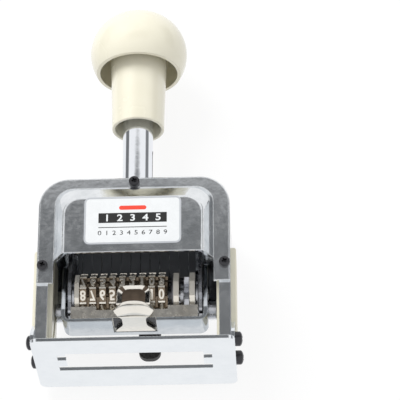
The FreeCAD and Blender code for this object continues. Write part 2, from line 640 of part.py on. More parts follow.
# The knob is a hollow plastic shell: a full round rim that runs on into a lower crown.
def make_knob():
    edge_x = size("knob_round - knob_edge")
    middle = size("knob_middle")
    edge = size("knob_edge")
    top = size("knob_top")
    rise = top - middle - edge
    sunk = (edge_x ** 2 - rise ** 2) / (2 * rise)
    crown = top - middle + sunk
    joint = math.atan2(sunk, edge_x)
    low = size("knob_low")
    inner = edge - size("knob_wall")
    ceiling = size("knob_ceiling")

    def rim_point(radius, height):
        return Vector(edge_x + math.sqrt(radius ** 2 - (height - middle) ** 2), 0, height)

    seat = size("tube_top")
    boss = size("sleeve_head")
    stud = size("stud_round")
    stud_top = seat + size("stud_long")
    meeting = Vector(edge_x + edge * math.cos(joint), 0, middle + edge * math.sin(joint))
    half_way = (joint + math.pi / 2) / 2
    over = Vector(crown * math.cos(half_way), 0, middle - sunk + crown * math.sin(half_way))
    corners = [Vector(0, 0, stud_top), Vector(stud, 0, stud_top), Vector(stud, 0, seat),
               Vector(boss, 0, seat), Vector(boss, 0, ceiling), rim_point(inner, ceiling)]
    edges = [Part.LineSegment(a, b) for a, b in zip(corners, corners[1:])]
    edges.append(Part.Arc(corners[-1], Vector(edge_x + inner, 0, middle), rim_point(inner, low)))
    edges.append(Part.LineSegment(rim_point(inner, low), rim_point(edge, low)))
    edges.append(Part.Arc(rim_point(edge, low), Vector(edge_x + edge, 0, middle), meeting))
    edges.append(Part.Arc(meeting, over, Vector(0, 0, top)))
    edges.append(Part.LineSegment(Vector(0, 0, top), corners[0]))
    profile = Part.Face(Part.Wire([item.toShape() for item in edges]))
    return solid("knob_cap", profile.revolve(Vector(), Vector(0, 0, 1), 360))


# The carriage: a bent plate whose web hangs on the tube and whose sides hold the axle.
def make_carriage():
    body = new_body("carriage_frame")
    pad(body, "YZ_Plane", "-" + SIDE_OUT, SIDE_OUT,
        [("-toe_front", "side_low"), ("toe_rear", "side_low"), ("toe_rear", "toe_high"),
         ("side_rear", "toe_high + side_rear - toe_rear"), ("side_rear", WEB_TOP),
         ("-side_front", WEB_TOP), ("-side_front", "toe_high + side_front - toe_front"),
         ("-toe_front", "toe_high")])
    soften(body, "Fillet", "toe_rear / 2", edges_at("Z", "side_low", "X"))
    cut(body, "XZ_Plane", "-frame_deep", "frame_deep",
        symmetric([(PLATE_FACE, "0"), (PLATE_FACE, WEB_LOW)]))
    soften(body, "Fillet", "side_thick * 2", edges_at("Z", WEB_TOP, "Y"))
    soften(body, "Fillet", "side_thick", edges_at("Z", WEB_LOW, "Y"))
    cut(body, "XY_Plane", WEB_LOW + " - 1", WEB_TOP + " + 1", ("0", "0", "tube_round"))
    cut(body, *THROUGH, ("-axle_front", "axle_high", "axle_round"),
        ("-stay_y", "stay_high", "stay_round"), ("stay_y", "stay_high", "stay_round"))
    return body


def make_stay_rods():
    body = new_body("stay_rods")
    end = SIDE_OUT + " + stay_head"
    pad(body, "YZ_Plane", "-(%s)" % end, end, ("-stay_y", "stay_high", "stay_round"))
    return body


def make_axle():
    body = new_body("wheel_axle")
    shoulder = SIDE_OUT + " + clip_thick"
    end = INKER_OUT + " + clip_thick / 3"
    turn(body, [("-(%s)" % end, "0"), ("-(%s)" % end, "axle_end"), ("-(%s)" % shoulder, "axle_end"),
                ("-(%s)" % shoulder, "axle_round"), (shoulder, "axle_round"),
                (shoulder, "axle_end"), (end, "axle_end"), (end, "0")], "H_Axis")
    return on_axle(body)


def on_axle_disc(label, low, wide, radius, bore="axle_round"):
    """A plain ring on the axle, from one X to another."""
    body = new_body(label)
    pad(body, "YZ_Plane", low, "%s + %s" % (low, wide), ("0", "0", radius))
    cut(body, *THROUGH, ("0", "0", bore))
    return body


def make_axle_clip(label, low):
    body = on_axle_disc(label, low, "clip_thick", "clip_round")
    cut(body, *THROUGH,
        box_outline("-axle_round * 0.8", "axle_round * 0.5", "axle_round * 0.8", "clip_round * 2"))
    return on_axle(body)


# The comb of leaf springs hangs on a bar, each leaf over one wheel.
def make_comb_bar():
    body = new_body("comb_bar")
    front = "comb_face + comb_thick"
    pad(body, "YZ_Plane", "-" + PLATE_FACE, PLATE_FACE,
        box_outline(front, "bar_low", front + " + bar_deep", "bar_low + bar_high"))
    soften(body, "Chamfer", "bar_deep / 6", along("X"))
    return body


def make_leaves():
    body = new_body("detent_springs")
    foot = "axle_high + wheel_round"
    pad(body, "XZ_Plane", "comb_face", "comb_face + comb_thick",
        box_outline("-" + COMB_HALF, foot, COMB_HALF, "bar_low + bar_high"))
    slits = []
    room = size("%s - %s + %s / 2" % (COMB_HALF, WHEEL_FIRST, WHEEL_PITCH))
    count = int(room / size(WHEEL_PITCH)) + 1
    for number in range(count):
        left = "%s + (%d - 0.5) * %s - comb_slit / 2" % (WHEEL_FIRST, number, WHEEL_PITCH)
        slits.append(box_outline(left, foot + " - 1", left + " + comb_slit", "bar_low - 1"))
    cut(body, "XZ_Plane", "comb_face - 1", "comb_face + comb_thick + 1", *slits)
    return body


# A number wheel: ten facets for the digits, ridges between them and a thin ratchet.
FIGURES = 10
FACET = 360 / FIGURES
BOTTOM = -90


def make_wheel_blank():
    body = new_body("wheel_blank")
    facet = []
    half = "ridge_wide / 2"
    foot = "wheel_flat / %.9f" % math.cos(math.radians(FACET / 2))
    for number in range(FIGURES):
        spoke = BOTTOM + FACET * (number + 0.5)
        facet += [at_angle(foot, "-" + half, spoke), at_angle("wheel_round", "-" + half, spoke),
                  at_angle("wheel_round", half, spoke), at_angle(foot, half, spoke)]
    pad(body, "YZ_Plane", "-wheel_wide / 2", "band_wide - wheel_wide / 2", facet)
    pad(body, "YZ_Plane", "band_wide - wheel_wide / 2", "wheel_wide / 2",
        ratchet("ratchet_round", "ratchet_root", FIGURES))
    cut(body, *THROUGH, ("0", "0", "axle_round + shaft_play"))
    return body


def ratchet(outer, root, teeth):
    """The outline of saw teeth, each with a steep face and a long back."""
    outline = []
    for number in range(teeth):
        angle = BOTTOM + 360 / teeth * number
        outline += [at_angle(outer, "0", angle), at_angle(root, "0", angle + size("tooth_slant"))]
    return outline


def wheel_place(number):
    """The X of a number wheel's middle, counted from 0 at the left."""
    return "(%s + %d * %s)" % (WHEEL_FIRST, number, WHEEL_PITCH)


def make_number_wheels():
    blank = make_wheel_blank()
    wheels = []
    for number in range(WHEELS):
        wheel = solid("number_wheel_%d" % (number + 1), blank.Shape.copy())
        wheels.append(place(wheel, wheel_place(number), "-axle_front", "axle_high"))
    return wheels


def make_blank_wheel(label, low, wide):
    """A wheel with plain facets, turned a few degrees from the row of digits."""
    body = new_body(label)
    spokes = [at_angle("wheel_round", "0", size("blank_turned") + FACET * (number + 0.5))
              for number in range(FIGURES)]
    pad(body, "YZ_Plane", low, "%s + %s" % (low, wide), spokes)
    cut(body, *THROUGH, ("0", "0", "axle_round"))
    return on_axle(body)


def make_spacer():
    body = new_body("wheel_spacer")
    pad(body, "YZ_Plane", SPACER_FACE, BLANK_MIDDLE, ("0", "0", "spacer_round"))
    pad(body, "YZ_Plane", BLANK_MIDDLE + " - disc_thick", BLANK_MIDDLE, ("0", "0", "spacer_disc"))
    cut(body, *THROUGH, ("0", "0", "axle_round"))
    return on_axle(body)


# The repeat gear at the right of the row, which lets each number print more than once.
REPEAT_TEETH = 12


def make_repeat_ratchet():
    body = new_body("repeat_ratchet")
    pad(body, "YZ_Plane", REPEAT_FACE, REPEAT_FACE + " + repeat_wide",
        ratchet("repeat_round", "repeat_root", REPEAT_TEETH))
    cut(body, *THROUGH, ("0", "0", "axle_round + shaft_play"))
    return on_axle(body)


def make_repeat_pawl():
    body = new_body("repeat_pawl")
    far = PAWL_FACE + " + pawl_wide"
    pad(body, "YZ_Plane", PAWL_FACE, far, ("0", "0", "clip_round + 1"))
    pad(body, "YZ_Plane", PAWL_FACE, far,
        [("-clip_round", "-axle_round"), ("axle_round", "-clip_round"), ("-clip_round", "-repeat_round"),
         ("-repeat_round", "-axle_round * 1.4")])
    cut(body, *THROUGH, ("0", "0", "axle_round"))
    return on_axle(body)


# The feed rocker swings about the axle and drags its fingers over the ratchets. It is
# drawn with its rod along +Y and turned up to its place.
def make_pawl_arm(label, low):
    body = new_body(label)
    far = "%s + arm_thick" % low
    eye = "(rod_round + rod_eye)"
    pad(body, "YZ_Plane", low, far, ("0", "0", "arm_hub"))
    pad(body, "YZ_Plane", low, far,
        [("0", "-arm_hub * 0.9"), ("rod_reach", "-%s * 0.9" % eye), ("rod_reach", "%s * 0.9" % eye),
         ("0", "arm_hub * 0.9")])
    pad(body, "YZ_Plane", low, far, ("rod_reach", "0", eye))
    cut(body, *THROUGH, ("0", "0", "axle_round + shaft_play"),
        ("rod_reach", "0", "rod_round"))
    return on_axle(body, size("rod_angle"))


def make_pawl_rod():
    body = new_body("pawl_rod")
    pad(body, "YZ_Plane", "-" + ARM_OUT, ARM_OUT, ("rod_reach", "0", "rod_round"))
    return on_axle(body, size("rod_angle"))


def make_feed_pawl():
    body = new_body("feed_pawl")
    near = "wheel_round + feed_gap"
    half = "feed_thick / 2"
    pad(body, "YZ_Plane", "-" + COMB_HALF, COMB_HALF, ("rod_reach", "0", "rod_round + rod_eye"))
    pad(body, "XY_Plane", "-" + half, half, box_outline("-" + COMB_HALF, near, COMB_HALF, "rod_reach"))
    fingers = []
    for number in range(WHEELS):
        left = "%s + (band_wide + wheel_gap - finger_wide) / 2" % wheel_place(number)
        fingers.append(box_outline(left, "ratchet_round + feed_gap", left + " + finger_wide",
                                   near + " + finger_wide"))
    pad(body, "XY_Plane", "-" + half, half, *fingers)
    cut(body, *THROUGH, ("rod_reach", "0", "rod_round"))
    return on_axle(body, size("rod_angle"))


# The inker: a stirrup on the ends of the axle whose tray lies under the wheels.
def make_inker():
    body = new_body("inker_frame")
    pad(body, "YZ_Plane", "-" + INKER_OUT, INKER_OUT,
        [("-tray_front", "tray_low"), ("tray_rear", "tray_low"), ("tray_rear", "inker_waist"),
         ("inker_back", "axle_high"), ("inker_top_rear", "inker_top"),
         ("-inker_top_front", "inker_top"), ("-tray_front", "inker_waist")])
    soften(body, "Fillet", "inker_top_rear * 1.5", edges_at("Z", "inker_top", "X"))
    cut(body, "XZ_Plane", "-base_deep", "base_deep",
        symmetric([(INKER_FACE, TRAY_TOP), (INKER_FACE, "frame_high")]))
    soften(body, "Fillet", "tray_bend", edges_at("Z", "tray_low", "Y"))
    soften(body, "Fillet", "tray_bend - inker_thick", edges_at("Z", TRAY_TOP, "Y"))
    cut(body, *THROUGH,
        ("-axle_front", "axle_high", "axle_end + shaft_play"))
    half = "(thumb_flare + cut_play)"
    cut(body, "XY_Plane", "0", TRAY_TOP + " + 1", box_outline("-" + half, "-base_deep", half, "cut_rear"))
    return body


def make_followers():
    face = size(INKER_OUT)
    boss = size(INKER_OUT + " + roller_wide")
    end = size(LEG_IN + " - groove_play")
    rollers = []
    for side in (-1, 1):
        along_x = Vector(side, 0, 0)
        start = follower_at(0) + along_x * face
        wide = Part.makeCylinder(size("follower_round"), boss - face, start, along_x)
        pin = Part.makeCylinder(size("follower_pin"), end - face, start, along_x)
        rollers.append(wide.fuse(pin))
    return solid("follower_pins", Part.makeCompound(rollers))


def make_holder():
    body = new_body("pad_holder")
    floor = TRAY_TOP + " + holder_floor"
    pad(body, "XY_Plane", TRAY_TOP, floor,
        box_outline("-" + HOLDER_HALF, "-tray_front", HOLDER_HALF, "tray_rear"))
    pad(body, "XZ_Plane", "-tray_front", "holder_wall - tray_front",
        [("-" + HOLDER_HALF, TRAY_TOP), (HOLDER_HALF, TRAY_TOP), (HOLDER_HALF, "holder_end"),
         ("holder_right", "holder_end"), ("holder_right", "holder_middle"),
         ("-holder_left", "holder_middle"), ("-holder_left", "holder_end"),
         ("-" + HOLDER_HALF, "holder_end")])
    pad(body, "XZ_Plane", "tray_rear - holder_wall", "tray_rear",
        box_outline("-" + HOLDER_HALF, TRAY_TOP, HOLDER_HALF, "holder_lip"))
    for low in ("-" + HOLDER_HALF, HOLDER_HALF + " - holder_wall"):
        pad(body, "YZ_Plane", low, low + " + holder_wall",
            box_outline("-tray_front", TRAY_TOP, "tray_rear", "holder_lip"))
    return body


def make_pad():
    body = new_body("ink_pad")
    floor = TRAY_TOP + " + holder_floor"
    half = HOLDER_HALF + " - holder_wall - pad_play"
    pad(body, "XY_Plane", floor, floor + " + pad_thick",
        box_outline("-(%s)" % half, "-pad_front", half, "pad_rear"))
    soften(body, "Fillet", "pad_thick / 3", edges_at("Z", floor + " + pad_thick"))
    return body


def make_clip():
    body = new_body("pad_clip")
    pad(body, "XY_Plane", "tray_low", TRAY_TOP,
        symmetric([("thumb_lip", "-thumb_bend_y - thumb_wall"), ("thumb_neck", "-tray_front"),
                   ("thumb_waist", "-thumb_waist_y"), ("thumb_flare", "-thumb_rear")]))
    pad(body, "YZ_Plane", "-thumb_lip", "thumb_lip",
        [("-thumb_bend_y", "tray_low"), ("-thumb_bend_y", TRAY_TOP),
         ("-thumb_lip_y", "thumb_lip_z + thumb_thick"), ("-thumb_lip_y - thumb_thick / 2", "thumb_lip_z"),
         ("-thumb_bend_y - thumb_wall", "tray_low")])
    outer = "(thumb_mouth + thumb_wall)"
    pad(body, "XZ_Plane", "-thumb_rim", "thumb_wall - thumb_back",
        [("-" + outer, "tray_low"), (outer, "tray_low"), (outer, "thumb_top - thumb_arch"),
         ("thumb_flat", "thumb_top"), ("-thumb_flat", "thumb_top"),
         ("-" + outer, "thumb_top - thumb_arch")])
    soften(body, "Fillet", "thumb_arch", lambda edge: along("Y")(edge)
           and edge.BoundBox.ZMin > size("thumb_top - thumb_arch") - 1e-4)
    cut(body, *THROUGH,
        [("-thumb_rim - 1", "thumb_lip_z"), ("-thumb_rim", "thumb_lip_z"),
         ("-thumb_rim_top", "thumb_top"), ("-thumb_rim_top", "thumb_top + 1"),
         ("-thumb_rim - 1", "thumb_top + 1")])
    inner = "(thumb_top - thumb_wall)"
    cut(body, "XZ_Plane", "-base_deep", "-thumb_back",
        [("-thumb_mouth", "thumb_lip_z + thumb_thick"), ("thumb_mouth", "thumb_lip_z + thumb_thick"),
         ("thumb_mouth", inner + " - thumb_arch"), ("thumb_flat", inner), ("-thumb_flat", inner),
         ("-thumb_mouth", inner + " - thumb_arch")])
    return body


# The rear controls: a lever that picks how often a number repeats, and a lock button.
def make_pivot():
    face = "%s + panel_proud" % COVER_FACE
    shoulder = LEVER_FACE + " + lever_thick + rear_gap"
    x, y, z = size("lever_x"), size("frame_deep / 2"), size("lever_high")
    lengths = (("screw_shank", "0"), ("pivot_round", face + " - frame_deep / 2"),
               ("pivot_head", shoulder + " - frame_deep / 2"))
    ends = [size(face), size(shoulder), size(shoulder + " + pivot_head_high")]
    steps = []
    for (radius, start), end in zip(lengths, ends):
        low = y + size(start)
        steps.append(Part.makeCylinder(size(radius), end - low, Vector(x, low, z), Vector(0, 1, 0)))
    return solid("selector_pivot", steps[0].fuse(steps[1:]))


def make_lever():
    body = new_body("selector_lever")
    far = LEVER_FACE + " + lever_thick"
    pad(body, "XZ_Plane", LEVER_FACE, far, ("lever_x", "lever_high", "lever_hub"))
    pad(body, "XZ_Plane", LEVER_FACE, far,
        box_outline("lever_x - lever_wide / 2", "lever_foot", "lever_x + lever_wide / 2", "lever_high"))
    cut(body, "XZ_Plane", LEVER_FACE + " - 1", far + " + 1",
        ("lever_x", "lever_high", "pivot_round + shaft_play"))
    return body


def make_tip():
    body = new_body("selector_tip")
    far = LEVER_FACE + " + lever_thick"
    half = "tip_half"
    pad(body, "XZ_Plane", LEVER_FACE + " - tip_wall", far + " + tip_wall",
        box_outline("lever_x - " + half, "tip_low", "lever_x + " + half, "tip_high"))
    soften(body, "Fillet", "tip_half * 0.8", edges_at("Z", "tip_low", "Y"))
    cut(body, "XZ_Plane", LEVER_FACE, far,
        box_outline("lever_x - lever_wide / 2", "lever_foot", "lever_x + lever_wide / 2", "tip_high + 1"))
    return body


def make_button():
    body = new_body("lock_button")
    face = "%s + panel_proud + rear_gap + button_travel" % COVER_FACE
    pad(body, "XZ_Plane", face + " - button_travel - button_long", face,
        ("button_x", "button_z", "button_round"))
    pad(body, "XZ_Plane", face, face + " + button_cap_high", ("button_x", "button_z", "button_cap"))
    soften(body, "Chamfer", "button_cap_high / 4", edges_at("Y", face + " + button_cap_high"))
    return body


SUB_PARTS = [
    make_base(), make_base_screws(), make_frame(), make_guide("left_guide", -1),
    make_guide("right_guide", 1), make_front_cover(), make_cover_screws("front_cover_screws", -1),
    make_nameplate(), make_rear_cover(), make_cover_screws("rear_cover_screws", 1), make_bushing(),
    make_spring_pin(), make_spring_seat(), make_pivot(), make_tube(), make_tube_collar(),
    make_bumper(), make_plug(), make_spring(), make_sleeve(), make_knob(), make_carriage(),
    make_stay_rods(), make_axle(), make_axle_clip("left_axle_clip", "-" + SIDE_OUT + " - clip_thick"),
    make_axle_clip("right_axle_clip", SIDE_OUT), make_comb_bar(), make_leaves(),
    make_blank_wheel("left_blank_wheel", BLANK_LEFT, "blank_thin"),
    make_blank_wheel("middle_blank_wheel", BLANK_MIDDLE, "blank_wide"),
    make_blank_wheel("right_blank_wheel", BLANK_RIGHT, "blank_wide"), make_spacer(),
    make_repeat_pawl(), make_repeat_ratchet(), make_pawl_arm("left_pawl_arm", "-" + ARM_OUT),
    make_pawl_arm("right_pawl_arm", ARM_FACE), make_pawl_rod(), make_feed_pawl(), make_inker(),
    make_followers(), make_holder(), make_pad(), make_clip(), make_lever(), make_tip(),
    make_button(),
] + make_number_wheels()
doc.recompute()

for item in doc.Objects:
    if "Invalid" in item.State or "Error" in item.State:
        raise RuntimeError("%s failed: %s" % (item.Label, item.State))
for part in SUB_PARTS:
    if part.Shape.isNull() or not part.Shape.isValid():
        raise RuntimeError("%s has no valid shape" % part.Label)

os.makedirs("parts", exist_ok=True)
for part in SUB_PARTS:
    part.Shape.exportStep("parts/%s.step" % part.Label)
print("%d sub-parts written" % len(SUB_PARTS))
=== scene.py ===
import math

import bmesh
import bpy
from mathutils import Matrix, Vector


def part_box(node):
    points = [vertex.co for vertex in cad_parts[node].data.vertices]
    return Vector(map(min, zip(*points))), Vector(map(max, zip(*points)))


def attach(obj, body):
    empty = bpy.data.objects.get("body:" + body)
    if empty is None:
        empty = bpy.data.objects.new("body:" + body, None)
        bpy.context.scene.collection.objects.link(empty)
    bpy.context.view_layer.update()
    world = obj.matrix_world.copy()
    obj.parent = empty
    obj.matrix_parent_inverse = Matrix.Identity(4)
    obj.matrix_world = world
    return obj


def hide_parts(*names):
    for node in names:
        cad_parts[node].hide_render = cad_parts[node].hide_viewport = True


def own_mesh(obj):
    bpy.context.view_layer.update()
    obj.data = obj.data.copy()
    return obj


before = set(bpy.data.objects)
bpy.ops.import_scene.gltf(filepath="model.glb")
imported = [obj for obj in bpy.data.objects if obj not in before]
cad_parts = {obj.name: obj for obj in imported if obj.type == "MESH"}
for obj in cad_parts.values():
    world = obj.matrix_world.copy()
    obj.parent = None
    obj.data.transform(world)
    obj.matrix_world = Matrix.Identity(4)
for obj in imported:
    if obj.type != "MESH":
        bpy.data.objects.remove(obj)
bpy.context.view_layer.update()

# The sole. It is a pressed steel plate with a window for the wheels and two ears turned
# up at its ends, plated with bright chrome that has picked up the finest of scratches.
MM = 0.001


class Flow:
    """A value on its way through a shader. Sums add Math nodes, and node() adds any other."""

    def __init__(self, tree, socket=None):
        self.tree = tree
        self.socket = socket

    def node(self, kind, settings=None, inputs=None, output=0):
        """A node of a type with its settings, and the values or links of its sockets."""
        made = self.tree.nodes.new("ShaderNode" + kind)
        for name, value in (settings or {}).items():
            setattr(made, name, value)
        for name, value in (inputs or {}).items():
            if isinstance(value, Flow):
                self.tree.links.new(value.socket, made.inputs[name])
            else:
                made.inputs[name].default_value = value
        return Flow(self.tree, made.outputs[output] if made.outputs else None)

    def sum(self, operation, first, second):
        """One Math node over two values."""
        return self.node("Math", {"operation": operation}, {0: first, 1: second})

    def __add__(self, other):
        return self.sum("ADD", self, other)

    __radd__ = __add__

    def __mul__(self, other):
        return self.sum("MULTIPLY", self, other)

    __rmul__ = __mul__

    def __rsub__(self, other):
        return self.sum("SUBTRACT", other, self)

    def mix(self, low, high):
        """A colour between two, by this value."""
        return self.node("Mix", {"data_type": "RGBA"}, {0: self, 6: low, 7: high}, 2)

    def noise(self, size, detail=3, stretch=(1, 1, 1)):
        """Noise in the piece's own coordinates, with grains of a size in millimetres."""
        place = self.node("TexCoord", output="Object")
        spread = self.node("Mapping", {}, {"Vector": place, "Scale": stretch})
        return self.node("TexNoise", {}, {"Vector": spread, "Scale": 1 / (size * MM),
                                          "Detail": detail, "Roughness": 0.55})

    def ramp(self, low, high):
        """This value spread from 0 to 1 between two levels, and held there outside them."""
        return self.node("MapRange", {"interpolation_type": "SMOOTHSTEP"},
                         {"Value": self, "From Min": low, "From Max": high})

    def soft_edge(self, radius):
        """A normal that rounds the piece's edges by a radius in millimetres."""
        return self.node("Bevel", {"samples": 4}, {"Radius": radius * MM})

    def bump(self, deep, strength, normal=None):
        """A normal that this height raises by a depth in millimetres, over another normal."""
        inputs = {"Height": self, "Distance": deep * MM, "Strength": strength}
        if normal is not None:
            inputs["Normal"] = normal
        return self.node("Bump", {}, inputs)


def new_finish(name):
    """An empty material and the Flow that its nodes start from."""
    material = bpy.data.materials.new(name)
    material.use_nodes = True
    material.node_tree.nodes.clear()
    return material, Flow(material.node_tree)


def close_finish(flow, sockets):
    """Ends a material in one principled shader with these sockets."""
    shader = flow.node("BsdfPrincipled", {}, sockets)
    flow.node("OutputMaterial", {}, {"Surface": shader})


def metal(name, tone, dull, rough, edge=0.25, scratch=0.05, dent=0.03, grime=0.3, recess=None,
          metallic=1.0):
    """Plated or bare metal: two tones that drift, fine scratches, soft edges, slight dents.
    A recess is a tone and a function of the Flow that says where the metal lies open."""
    material, flow = new_finish(name)
    drift = flow.noise(9, 4)
    haze = flow.noise(2.2, 5).ramp(0.35, 0.75)
    scratches = flow.noise(0.5, 4, (0.12, 1, 1)) + flow.noise(0.5, 4, (1, 1, 0.12))
    dents = drift.bump(1, dent, flow.soft_edge(edge))
    shade = ((drift.ramp(0.3, 0.8) * 0.8 + haze * 0.2) * grime).mix(tone, dull)
    if recess:
        recess_tone, open_metal = recess
        shade = open_metal(flow).mix(recess_tone, shade)
    close_finish(flow, {"Base Color": shade, "Metallic": metallic,
                        "Roughness": rough + haze * (rough * 0.8),
                        "Normal": scratches.bump(0.02, scratch, dents)})
    return material


def finish_nodes(material, *names):
    """Gives CAD nodes, which stay as they are, their material."""
    for name in names:
        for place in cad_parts[name].material_slots:
            place.material = material


bright_chrome = metal("bright_chrome", (0.82, 0.85, 0.88, 1), (0.66, 0.7, 0.74, 1), 0.07,
                      dent=0.06)
finish_nodes(bright_chrome, "base_plate")

# The main frame. An inverted U of cast metal with slotted legs and a bridge over them,
# ground flat and chromed, so its broad faces are a shade rougher than the sheet parts.
cast_chrome = metal("cast_chrome", (0.8, 0.82, 0.84, 1), (0.46, 0.48, 0.51, 1), 0.1, 0.4,
                    scratch=0.03, dent=0.05, grime=0.6)
finish_nodes(cast_chrome, "main_frame")


# The guides. Cream plastic liners are snapped into the slots of the legs, and the curved
# grooves in them steer the inker. They are moulded, with a soft gloss.
def moulded(name, tone, deep, rough, edge=0.2, grain=0.15, coat=0.0):
    """Moulded plastic: a tone that drifts a little, a faint grain and soft edges."""
    material, flow = new_finish(name)
    drift = flow.noise(14, 3).ramp(0.3, 0.75)
    relief = flow.noise(0.25, 3).bump(0.03, grain, flow.soft_edge(edge))
    close_finish(flow, {"Base Color": drift.mix(tone, deep), "Roughness": rough + drift * 0.08,
                        "Coat Weight": coat, "Coat Roughness": 0.08, "Normal": relief})
    return material


cream_plastic = moulded("cream_plastic", (0.83, 0.8, 0.66, 1), (0.79, 0.755, 0.61, 1), 0.3,
                        coat=0.2)
finish_nodes(cream_plastic, "left_guide", "right_guide")


# The screws of the sole. Pan heads of black oxidised steel with a cross recess, two at
# each ear. Each head is a turned dome with the cross cut into it.
def new_piece(name, mesh, material, body):
    """An object at the origin that shows a mesh, has a material and rides on a body."""
    mesh.name = name
    mesh.materials.clear()
    mesh.materials.append(material)
    piece = bpy.data.objects.new(name, mesh)
    bpy.context.scene.collection.objects.link(piece)
    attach(piece, body)
    return piece


def mesh_of(work, name):
    """Closes a bmesh into a mesh whose faces all point outwards."""
    bmesh.ops.remove_doubles(work, verts=work.verts, dist=1e-7)
    bmesh.ops.recalc_face_normals(work, faces=work.faces)
    mesh = bpy.data.meshes.new(name)
    work.to_mesh(mesh)
    work.free()
    return mesh


def node_box(node):
    """The corners of a CAD node in millimetres."""
    low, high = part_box(node)
    return low / MM, high / MM


def moved(place):
    """The matrix of a move by a place in millimetres."""
    return Matrix.Translation(Vector(place) * MM)


def added(work, mesh):
    """Adds a mesh to a bmesh and gives back the points that are new in it."""
    before = set(work.verts)
    work.from_mesh(mesh)
    return [point for point in work.verts if point not in before]


def spun(work, outline, steps):
    """Spins an outline of (radius, height) pairs in millimetres about Z, closed to a solid."""
    points = [work.verts.new((radius * MM, 0, height * MM)) for radius, height in outline]
    edges = [work.edges.new(pair) for pair in zip(points, points[1:])]
    bmesh.ops.spin(work, geom=points + edges, cent=(0, 0, 0), axis=(0, 0, 1),
                   angle=math.tau, steps=steps, use_merge=True)
    bmesh.ops.remove_doubles(work, verts=work.verts, dist=1e-7)


def smooth(mesh, degrees=35):
    """Shades round faces smooth and keeps the edges that are sharper than an angle."""
    mesh.shade_smooth()
    mesh.set_sharp_from_angle(angle=math.radians(degrees))


def cut_mesh(mesh, cutter):
    """The first mesh less the second, as a new mesh."""
    holders = []
    for item in (mesh, cutter):
        holders.append(bpy.data.objects.new("cutting", item))
        bpy.context.scene.collection.objects.link(holders[-1])
    step = holders[0].modifiers.new("cut", "BOOLEAN")
    step.object = holders[1]
    step.solver = "EXACT"
    ready = holders[0].evaluated_get(bpy.context.evaluated_depsgraph_get())
    result = bpy.data.meshes.new_from_object(ready)
    for holder in holders:
        bpy.data.objects.remove(holder)
    return result


def box_in(work, low, high):
    """A block between two corners in millimetres, added to a bmesh."""
    middle = (Vector(low) + Vector(high)) / 2 * MM
    spans = (Vector(high) - Vector(low)) * MM
    made = bmesh.ops.create_cube(work, size=1)["verts"]
    bmesh.ops.scale(work, vec=spans, verts=made)
    bmesh.ops.translate(work, vec=middle, verts=made)
    return made


def cross_arm(radius, high, angle):
    """The cutter of one arm of a cross recess: a bar that narrows to its foot, turned about Z."""
    half_long = radius * 0.74
    half_wide = radius * 0.17
    work = bmesh.new()
    arm = box_in(work, (-half_long, -half_wide, high * 0.35), (half_long, half_wide, high * 1.5))
    foot = [point for point in arm if point.co.z < high * MM]
    bmesh.ops.scale(work, vec=(0.35, 0.75, 1), verts=foot)
    bmesh.ops.rotate(work, matrix=Matrix.Rotation(angle, 3, "Z"), verts=arm)
    return mesh_of(work, "slot")


HEAD_EDGE = 0.55
DOME_STEPS = 8
HEAD_SIDES = 32


def pan_head(radius, high):
    """One screw head on Z = 0 with its dome upwards and a cross recess in it. HEAD_EDGE is
    the share of its height at which the dome starts."""
    dome = [(radius * math.sin(turn), high * (HEAD_EDGE + (1 - HEAD_EDGE) * math.cos(turn)))
            for turn in (math.pi / 2 / DOME_STEPS * step for step in range(DOME_STEPS + 1))]
    work = bmesh.new()
    spun(work, dome + [(radius, 0), (0, 0)], HEAD_SIDES)
    head = mesh_of(work, "head")
    for angle in (0, math.pi / 2):
        head = cut_mesh(head, cross_arm(radius, high, angle))
    return head


black_oxide = metal("black_oxide", (0.06, 0.06, 0.065, 1), (0.02, 0.02, 0.022, 1), 0.22, 0.15)
FIRST_TWIST = 25
NEXT_TWIST = 47


def screw_heads(name, node, radius, high, screws):
    """All the heads of one CAD node, each with its place and the way it looks. The crosses
    stop at different angles, as screws do."""
    head = pan_head(radius, high)
    work = bmesh.new()
    for number, (place, way) in enumerate(screws):
        twist = Matrix.Rotation(math.radians(FIRST_TWIST + NEXT_TWIST * number), 4, "Z")
        stand = Vector((0, 0, 1)).rotation_difference(Vector(way)).to_matrix().to_4x4()
        bmesh.ops.transform(work, matrix=moved(place) @ stand @ twist, verts=added(work, head))
    mesh = mesh_of(work, name)
    smooth(mesh)
    piece = new_piece(name, mesh, black_oxide, "frame")
    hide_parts(node)


BASE_HEAD = 2.4
sole_high = node_box("base_plate")[1]
screws_high = node_box("base_screws")[1]
screw_y = screws_high.y - BASE_HEAD
screw_z = screws_high.z - BASE_HEAD
screw_heads("base_screw_heads", "base_screws", BASE_HEAD, screws_high.x - sole_high.x,
            [((side * sole_high.x, y, screw_z), (side, 0, 0))
             for side in (-1, 1) for y in (-screw_y, screw_y)])

# The front cover. A deep-drawn hood of chromed sheet with a flange that lies on the
# frame, held by three smaller black screws.
pressed_chrome = metal("pressed_chrome", (0.82, 0.84, 0.86, 1), (0.5, 0.53, 0.56, 1), 0.09, 0.5,
                       scratch=0.02, dent=0.035, grime=0.6)
finish_nodes(pressed_chrome, "front_cover")
COVER_HEAD = 1.8
COVER_HEAD_HIGH = 1.6


def cover_screws(name, node, way):
    """The three heads of a cover: one over the hood and one beside it on each leg."""
    low, high = node_box(node)
    face = low.y + COVER_HEAD_HIGH if way < 0 else high.y - COVER_HEAD_HIGH
    side = high.x - COVER_HEAD
    upper = high.z - COVER_HEAD
    lower = low.z + COVER_HEAD
    screw_heads(name, node, COVER_HEAD, COVER_HEAD_HIGH,
                [((x, face, z), (0, way, 0)) for x, z in ((0, upper), (-side, lower), (side, lower))])


cover_screws("front_screw_heads", "front_cover_screws", -1)


